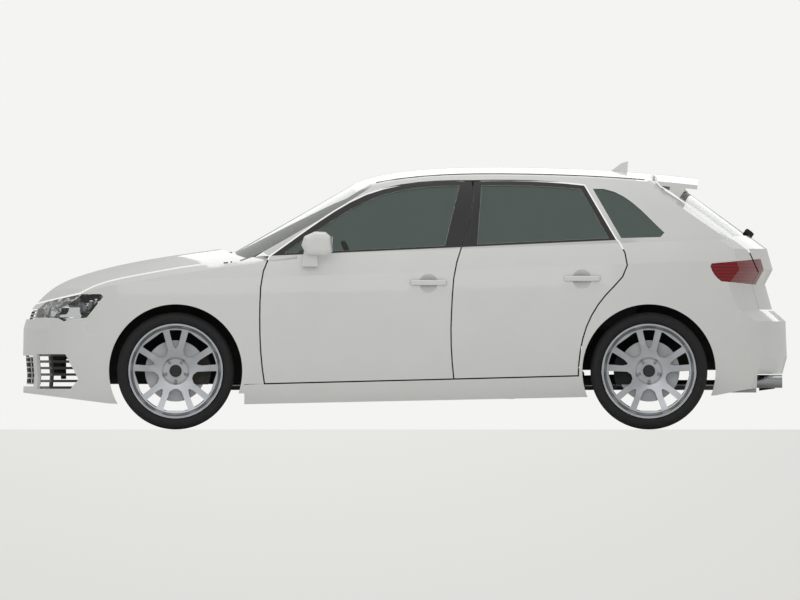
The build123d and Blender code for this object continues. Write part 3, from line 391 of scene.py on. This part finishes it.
def rounded_block(name, centre, size, edge, segments=3, turn=(0, 0, 0)):
    """Block of a real size with its edges rounded."""
    deselect()
    bpy.ops.mesh.primitive_cube_add(size=1, location=centre, rotation=turn)
    piece = start(name)
    piece.scale = size
    bpy.ops.object.transform_apply(location=False, rotation=False, scale=True)
    apply_modifier(piece, "BEVEL", width=edge, segments=segments, limit_method="NONE")
    bpy.ops.object.shade_smooth_by_angle(angle=radians(40))
    return piece


def edit(piece):
    """Opens one piece for modelling with nothing selected."""
    deselect()
    piece.select_set(True)
    bpy.context.view_layer.objects.active = piece
    bpy.ops.object.mode_set(mode="EDIT")
    bpy.ops.mesh.select_mode(type="FACE")
    bpy.ops.mesh.select_all(action="DESELECT")


def pick_faces(piece, wanted):
    """Selects the faces whose middle and normal are wanted, in the open piece."""
    bpy.ops.object.mode_set(mode="OBJECT")
    for face in piece.data.polygons:
        face.select = wanted(face.center, face.normal)
    bpy.ops.object.mode_set(mode="EDIT")


def close(piece, angle=35):
    """Ends the modelling of a piece: normals outwards, smooth where it bends gently."""
    bpy.ops.mesh.select_all(action="SELECT")
    bpy.ops.mesh.normals_make_consistent(inside=False)
    bpy.ops.object.mode_set(mode="OBJECT")
    bpy.ops.object.shade_smooth_by_angle(angle=radians(angle))


def copied(piece, name, shift=(0, 0, 0), mirrored=False):
    """A copy with its own mesh, moved or mirrored to the car's other side."""
    deselect()
    piece.select_set(True)
    bpy.context.view_layer.objects.active = piece
    bpy.ops.object.duplicate()
    twin = start(name)
    bpy.ops.object.mode_set(mode="EDIT")
    bpy.ops.mesh.select_all(action="SELECT")
    if mirrored:
        bpy.ops.transform.resize(value=(1, -1, 1), center_override=(0, 0, 0))
        bpy.ops.mesh.flip_normals()
    bpy.ops.transform.translate(value=shift)
    bpy.ops.object.mode_set(mode="OBJECT")
    return twin


# Soft seats: every pad is a crowned form with sewn channels, finished as a subdivision surface
SEAM_HALF = 0.012
SIDE_SEAM = 0.27
FRONT_SEAT_Y = 0.37


def pad(name, centre, size, turn, channels, channel_depth, bolster):
    """A stuffed pad whose upper face swells between sewn channels, with raised side bolsters."""
    deselect()
    bpy.ops.mesh.primitive_cube_add(size=1, location=(0, 0, 0))
    piece = start(name)
    piece.scale = size
    bpy.ops.object.transform_apply(location=False, rotation=False, scale=True)
    edit(piece)
    seams = [k / channels - 0.5 for k in range(1, channels)]
    for share in seams:
        for offset in (-SEAM_HALF, 0, SEAM_HALF):
            bpy.ops.mesh.select_all(action="SELECT")
            bpy.ops.mesh.bisect(plane_co=(share * size[0] + offset, 0, 0), plane_no=(1, 0, 0))
    for share in (-SIDE_SEAM, SIDE_SEAM):
        for offset in (-SEAM_HALF, 0, SEAM_HALF):
            bpy.ops.mesh.select_all(action="SELECT")
            bpy.ops.mesh.bisect(plane_co=(0, share * size[1] + offset, 0), plane_no=(0, 1, 0))
    bpy.ops.mesh.select_all(action="DESELECT")
    bpy.ops.mesh.select_mode(type="VERT")
    bpy.ops.object.mode_set(mode="OBJECT")
    for vertex in piece.data.vertices:
        across = min(abs(vertex.co.x - share * size[0]) for share in seams)
        along = min(abs(vertex.co.y - share * size[1]) for share in (-SIDE_SEAM, SIDE_SEAM))
        top = vertex.co.z > 0.49 * size[2]
        off_ends = abs(vertex.co.x) < 0.49 * size[0]
        between = abs(vertex.co.y) < 0.29 * size[1]
        on_seam = along < 0.001 or between and across < 0.001
        vertex.select = top and off_ends and on_seam
    bpy.ops.object.mode_set(mode="EDIT")
    bpy.ops.transform.translate(value=(0, 0, -channel_depth))
    bpy.ops.mesh.select_all(action="DESELECT")
    bpy.ops.object.mode_set(mode="OBJECT")
    for vertex in piece.data.vertices:
        vertex.select = vertex.co.z > 0.3 * size[2] and abs(vertex.co.y) > 0.285 * size[1]
    bpy.ops.object.mode_set(mode="EDIT")
    bpy.ops.transform.translate(value=(0, 0, bolster))
    bpy.ops.mesh.select_all(action="SELECT")
    bpy.ops.mesh.normals_make_consistent(inside=False)
    bpy.ops.object.mode_set(mode="OBJECT")
    apply_modifier(piece, "BEVEL", width=0.022, segments=2, limit_method="ANGLE", angle_limit=radians(60))
    apply_modifier(piece, "SUBSURF", levels=2, render_levels=2)
    piece.rotation_euler = turn
    piece.location = centre
    bpy.ops.object.shade_smooth()
    return piece


def seat_set(side_name, side):
    """Cushion, back and head restraint of one front seat."""
    y = side * FRONT_SEAT_Y
    cushion = pad(
        f"front_cushion_{side_name}", (0.075, y, 0.41), (0.50, 0.46, 0.17), (0, radians(-5), 0),
        4, 0.014, 0.022,
    )
    back = pad(
        f"front_backrest_{side_name}", (-0.215, y, 0.735), (0.56, 0.46, 0.13), (0, radians(-71), pi),
        4, 0.014, 0.025,
    )
    rest = pad(
        f"front_head_restraint_{side_name}", (-0.335, y, 1.118), (0.14, 0.25, 0.085), (0, radians(-74), pi),
        2, 0.004, 0.0,
    )
    return [cushion, back, rest]


for side_name, side in SIDES:
    for piece in seat_set(side_name, side):
        settle(piece, cloth, "body")
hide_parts("front_seats")
bench_pads = [
    pad("rear_cushion", (-0.79, 0, 0.425), (0.37, 1.18, 0.15), (0, radians(-5), 0), 3, 0.012, 0.0),
    pad("rear_backrest", (-1.055, 0, 0.70), (0.50, 1.02, 0.12), (0, radians(-69), pi), 4, 0.012, 0.0),
]
for piece in bench_pads:
    settle(piece, cloth, "body")
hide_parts("rear_bench")


# Seat bases, and the posts of the head restraints
for side_name, side in SIDES:
    y = side * FRONT_SEAT_Y
    base = rounded_block(f"seat_base_{side_name}", (0.08, y, 0.285), (0.44, 0.40, 0.11), 0.02)
    edit(base)
    pick_faces(base, lambda middle, normal: normal.z < -0.9)
    bpy.ops.mesh.inset(thickness=0.03, depth=0.0)
    bpy.ops.mesh.extrude_region_move(TRANSFORM_OT_translate={"value": (0, 0, -0.03)})
    close(base)
    settle(base, trim, "body")
    for post_name, post_y in [("inner", -0.06), ("outer", 0.06)]:
        deselect()
        bpy.ops.mesh.primitive_cylinder_add(
            vertices=16, radius=0.006, depth=0.14, location=(-0.312, y + post_y, 1.035),
            rotation=(0, radians(-16), 0),
        )
        stem = start(f"head_restraint_post_{side_name}_{post_name}")
        apply_modifier(stem, "BEVEL", width=0.0015, segments=2, limit_method="ANGLE")
        bpy.ops.object.shade_smooth_by_angle(angle=radians(40))
        settle(stem, chrome, "body")


# Wheel bolts and centre caps, modelled on one wheel and copied to the others
WHEELS = [
    (f"{end}_wheel_{side_name}", axle_x, side)
    for end, axle_x in [("front", FRONT_AXLE_X), ("rear", REAR_AXLE_X)] for side_name, side in SIDES
]
HUB_FACE = 0.819
BOLT_CIRCLE = 0.056
BOLT_COUNT = 5


def wheel_bolt():
    """Domed hexagon bolt with a washer collar, lying across the car at the wheel's middle."""
    deselect()
    bpy.ops.mesh.primitive_cylinder_add(vertices=6, radius=0.0098, depth=0.014, location=(0, 0, 0))
    piece = start("wheel_bolt_master")
    edit(piece)
    pick_faces(piece, lambda middle, normal: normal.z > 0.9)
    bpy.ops.mesh.inset(thickness=0.0022, depth=0.0012)
    bpy.ops.mesh.inset(thickness=0.002, depth=-0.003)
    pick_faces(piece, lambda middle, normal: normal.z < -0.9)
    bpy.ops.mesh.inset(thickness=0, depth=0)
    bpy.ops.transform.resize(value=(1.28, 1.28, 1))
    bpy.ops.mesh.extrude_region_move(TRANSFORM_OT_translate={"value": (0, 0, -0.003)})
    close(piece)
    piece.rotation_euler = (radians(-90), 0, 0)
    bpy.ops.object.transform_apply(rotation=True)
    return piece


def centre_cap():
    """Hub cap with a raised ring round a plain dished middle."""
    deselect()
    bpy.ops.mesh.primitive_cylinder_add(vertices=40, radius=0.034, depth=0.012, location=(0, 0, 0))
    piece = start("centre_cap_master")
    edit(piece)
    pick_faces(piece, lambda middle, normal: normal.z > 0.9)
    bpy.ops.mesh.inset(thickness=0.003, depth=0.002)
    bpy.ops.mesh.inset(thickness=0.003, depth=0)
    bpy.ops.mesh.inset(thickness=0.002, depth=-0.0025)
    bpy.ops.mesh.inset(thickness=0.012, depth=0.001)
    close(piece, 30)
    piece.rotation_euler = (radians(-90), 0, 0)
    bpy.ops.object.transform_apply(rotation=True)
    return piece


bolt_master = wheel_bolt()
cap_master = centre_cap()
for wheel, axle_x, side in WHEELS:
    cap = copied(cap_master, f"{wheel}_cap", (axle_x, side * (HUB_FACE + 0.004), TYRE_RADIUS), side < 0)
    settle(cap, gloss_black, wheel)
    for index in range(BOLT_COUNT):
        angle = radians(126 + 360 / BOLT_COUNT * index)
        along, up = BOLT_CIRCLE * cos(angle), BOLT_CIRCLE * sin(angle)
        place = (axle_x + along, side * (HUB_FACE + 0.006), TYRE_RADIUS + up)
        bolt = copied(bolt_master, f"{wheel}_bolt_{index + 1}", place, side < 0)
        settle(bolt, stainless, wheel)
deselect()
for master in (bolt_master, cap_master):
    bpy.data.objects.remove(master)


# Two projector lamps inside each headlamp
def projector():
    """Projector lamp: a bowl with a stepped rim and a bulging lens, facing forwards."""
    deselect()
    bpy.ops.mesh.primitive_cylinder_add(vertices=40, radius=0.036, depth=0.05, location=(0, 0, 0))
    piece = start("projector_master")
    edit(piece)
    pick_faces(piece, lambda middle, normal: normal.z > 0.9)
    bpy.ops.mesh.inset(thickness=0.004, depth=0)
    bpy.ops.mesh.inset(thickness=0.003, depth=-0.012)
    bpy.ops.mesh.inset(thickness=0.006, depth=0.006)
    bpy.ops.mesh.inset(thickness=0.009, depth=0.004)
    close(piece, 30)
    piece.rotation_euler = (0, radians(90), radians(28))
    bpy.ops.object.transform_apply(rotation=True)
    return piece


projector_master = projector()
for side_name, side in SIDES:
    for index, (x, y, z) in enumerate([(1.872, 0.60, 0.672), (1.925, 0.50, 0.662)]):
        lamp = copied(projector_master, f"projector_{side_name}_{index + 1}", (x, side * y, z), side < 0)
        settle(lamp, chrome, "body")
bpy.data.objects.remove(projector_master)


# Mirror glass in the back of each housing, on the front doors
for side_name, side in SIDES:
    pane_middle = (0.4045, side * 0.952, 1.03)
    pane = rounded_block(f"mirror_pane_{side_name}", pane_middle, (0.004, 0.10, 0.082), 0.0015, 2)
    edit(pane)
    pick_faces(pane, lambda middle, normal: normal.x < -0.9)
    bpy.ops.mesh.inset(thickness=0.004, depth=-0.0006)
    close(pane)
    settle(pane, mirror_glass, f"front_door_{side_name}")


# Cover of the rear wiper's motor, on the tailgate
cover = rounded_block(
    "rear_wiper_cover", (-1.905, 0.0, 1.088), (0.05, 0.06, 0.04), 0.012, 3, (0, radians(-36), 0)
)
edit(cover)
pick_faces(cover, lambda middle, normal: normal.x < -0.6)
bpy.ops.mesh.inset(thickness=0.006, depth=0.004)
close(cover)
settle(cover, trim, "tailgate")


# Gear lever with its gaiter, on the console
LEVER_X = 0.28
GAITER_Z = 0.515
deselect()
bpy.ops.mesh.primitive_cone_add(
    vertices=24, radius1=0.06, radius2=0.018, depth=0.07, location=(LEVER_X, 0, GAITER_Z)
)
gaiter = start("gear_gaiter")
edit(gaiter)
for height in (-0.02, -0.005, 0.01, 0.022):
    bpy.ops.mesh.select_all(action="SELECT")
    bpy.ops.mesh.bisect(plane_co=(LEVER_X, 0, GAITER_Z + height), plane_no=(0, 0, 1))
close(gaiter, 60)
settle(gaiter, cloth, "body")
deselect()
bpy.ops.mesh.primitive_cylinder_add(vertices=24, radius=0.009, depth=0.09, location=(LEVER_X, 0, 0.585))
lever = start("gear_lever")
edit(lever)
pick_faces(lever, lambda middle, normal: normal.z > 0.9)
bpy.ops.mesh.extrude_region_move(TRANSFORM_OT_translate={"value": (0, 0, 0.004)})
bpy.ops.transform.resize(value=(2.4, 2.4, 1))
bpy.ops.mesh.extrude_region_move(TRANSFORM_OT_translate={"value": (0, 0, 0.035)})
bpy.ops.mesh.inset(thickness=0.006, depth=0.006)
close(lever, 50)
settle(lever, trim, "body")


# Instrument hood, screen and air vents on the dashboard
hood = rounded_block("instrument_hood", (0.53, 0.37, 0.965), (0.13, 0.34, 0.07), 0.025, 4, (0, radians(8), 0))
edit(hood)
pick_faces(hood, lambda middle, normal: normal.x < -0.9)
bpy.ops.mesh.inset(thickness=0.01, depth=-0.03)
close(hood)
settle(hood, trim, "body")
screen = rounded_block("dash_screen", (0.462, 0.0, 0.885), (0.012, 0.22, 0.13), 0.006, 3, (0, radians(10), 0))
edit(screen)
pick_faces(screen, lambda middle, normal: normal.x < -0.9)
bpy.ops.mesh.inset(thickness=0.006, depth=-0.002)
close(screen)
settle(screen, gloss_black, "body")
for index, y in enumerate([-0.58, -0.19, 0.19, 0.60]):
    vent = rounded_block(f"air_vent_{index + 1}", (0.458, y, 0.88), (0.02, 0.12, 0.065), 0.008, 3)
    edit(vent)
    pick_faces(vent, lambda middle, normal: normal.x < -0.9)
    bpy.ops.mesh.inset(thickness=0.006, depth=-0.004)
    for step in range(3):
        bpy.ops.mesh.inset(thickness=0.004, depth=-0.001 if step % 2 else 0.001)
    close(vent)
    settle(vent, trim, "body")


# Dark linings that lie behind the shut gaps, real inner parts made black to give the gaps painted shade:
# engine bay apron, sill step and rear quarter lining
GAP_SHADE_LININGS = [
    ("fender_apron", (0.757, 0.868), 0.652, (0.30, 0.94)),
    ("sill_step", (-0.985, 0.790), 0.696, (0.262, 0.330)),
    ("quarter_lining", (-1.280, -1.050), 0.680, (0.56, 0.99)),
]
LINING_WALL = 0.008
LINING_BORDER = 0.014
for name, (x_low, x_high), y, (z_low, z_high) in GAP_SHADE_LININGS:
    middle_point = ((x_low + x_high) / 2, y, (z_low + z_high) / 2)
    lining_size = (x_high - x_low, LINING_WALL, z_high - z_low)
    lining = rounded_block(f"{name}_left", middle_point, lining_size, 0.002, 2)
    edit(lining)
    pick_faces(lining, lambda middle, normal: abs(normal.y) > 0.9)
    bpy.ops.mesh.inset(thickness=LINING_BORDER, depth=-0.0015, use_individual=True)
    close(lining)
    settle(lining, trim, "body")
    settle(copied(lining, f"{name}_right", mirrored=True), trim, "body")


# Drip strips along the roof, laid on the panel that carries them
ROOF_STRIP_WIDTH = 0.015
ROOF_STRIP_WALL = 0.004
ROOF_STRIP_STEPS = 4


def roof_strip(name, points, across):
    """Thin strip drawn point by point, widened, dropped on the roof and given its thickness."""
    deselect()
    bpy.ops.mesh.primitive_plane_add(size=0.001, location=points[0])
    piece = start(name)
    bpy.ops.object.mode_set(mode="EDIT")
    bpy.ops.mesh.select_mode(type="VERT")
    bpy.ops.mesh.select_all(action="SELECT")
    bpy.ops.mesh.merge(type="CENTER")
    for before, after in zip(points, points[1:]):
        step = [(b - a) / ROOF_STRIP_STEPS for a, b in zip(before, after)]
        for _ in range(ROOF_STRIP_STEPS):
            bpy.ops.mesh.extrude_vertices_move(TRANSFORM_OT_translate={"value": step})
    bpy.ops.mesh.select_all(action="SELECT")
    bpy.ops.mesh.extrude_region_move(TRANSFORM_OT_translate={"value": across})
    bpy.ops.object.mode_set(mode="OBJECT")
    bpy.ops.object.transform_apply(location=True)
    apply_modifier(
        piece, "SHRINKWRAP", target=nodes["roof"], wrap_method="PROJECT", use_project_z=True,
        use_negative_direction=True, use_positive_direction=False, offset=0.0003,
    )
    apply_modifier(piece, "SOLIDIFY", thickness=ROOF_STRIP_WALL, offset=0)
    edit(piece)
    close(piece, 50)
    return settle(piece, trim, "body")


for side_name, side in SIDES:
    rail = [(x, side * 0.527, 1.6) for x in (0.16, -0.3, -0.8, -1.33)]
    roof_strip(f"roof_strip_{side_name}", rail, (0, side * ROOF_STRIP_WIDTH, 0))


# Studio

FLOOR_LIFT = 0.32


def studio_surface(name, base):
    """Matt pale floor that is a little brighter for the camera alone."""
    material, shader = new_material(name, base, 0.9)
    dust = noise(material, 400, 2.0)
    rough_between(material, shader, dust, "Fac", 0.85, 0.95)
    shader.inputs["Emission Color"].default_value = linear(base)
    ray = add_node(material, "ShaderNodeLightPath")
    lift = add_node(
        material, "ShaderNodeMath", {"operation": "MULTIPLY", 1: FLOOR_LIFT}, {0: (ray, "Is Camera Ray")}
    )
    material.node_tree.links.new(lift.outputs["Value"], shader.inputs["Emission Strength"])
    return material


deselect()
bpy.ops.mesh.primitive_cube_add(size=1, location=(0, -8, -0.5))
floor = start("studio_floor")
floor.scale = (40, 26, 1)
bpy.ops.object.transform_apply(location=True, rotation=True, scale=True)
floor.data.materials.append(studio_surface("pale_studio_floor", "#E8E8E6"))

world = bpy.data.worlds.new("soft_studio")
bpy.context.scene.world = world
world.use_nodes = True
light = world.node_tree.nodes["Background"]
light.inputs["Color"].default_value = linear("#F2F2F0")
light.inputs["Strength"].default_value = 0.6
backdrop = add_node(world, "ShaderNodeBackground", {"Color": linear("#F4F4F2"), "Strength": 1.0})
ray = add_node(world, "ShaderNodeLightPath")
seen = add_node(
    world, "ShaderNodeMixShader",
    links={0: (ray, "Is Camera Ray"), 1: (light, "Background"), 2: (backdrop, "Background")},
)
world.node_tree.links.new(seen.outputs["Shader"], world.node_tree.nodes["World Output"].inputs["Surface"])


def softbox(name, place, aim, width, height, power):
    """Large area lamp that faces a point."""
    lamp = bpy.data.lights.new(name, "AREA")
    lamp.shape = "RECTANGLE"
    lamp.size = width
    lamp.size_y = height
    lamp.energy = power
    holder = bpy.data.objects.new(name, lamp)
    bpy.context.collection.objects.link(holder)
    holder.location = place
    holder.rotation_euler = (Vector(aim) - Vector(place)).to_track_quat("-Z", "Y").to_euler()


softbox("overhead_softbox", (0, 0.5, 5.2), (0, 0, 0.6), 6.0, 3.0, 62)
softbox("side_softbox", (1.0, 6.5, 2.6), (0, 0, 0.7), 5.0, 2.5, 40)
softbox("far_softbox", (-1.0, -6.0, 3.0), (0, 0, 0.7), 5.0, 2.5, 40)

camera_data = bpy.data.cameras.new("side_view")
camera_data.type = "ORTHO"
camera_data.ortho_scale = 4.44
camera = bpy.data.objects.new("side_view", camera_data)
bpy.context.collection.objects.link(camera)
camera.location = (0.0277, 10.0, 0.7187)
camera.rotation_euler = (pi / 2, 0, pi)
bpy.context.scene.camera = camera
bpy.context.scene.view_settings.view_transform = "Standard"
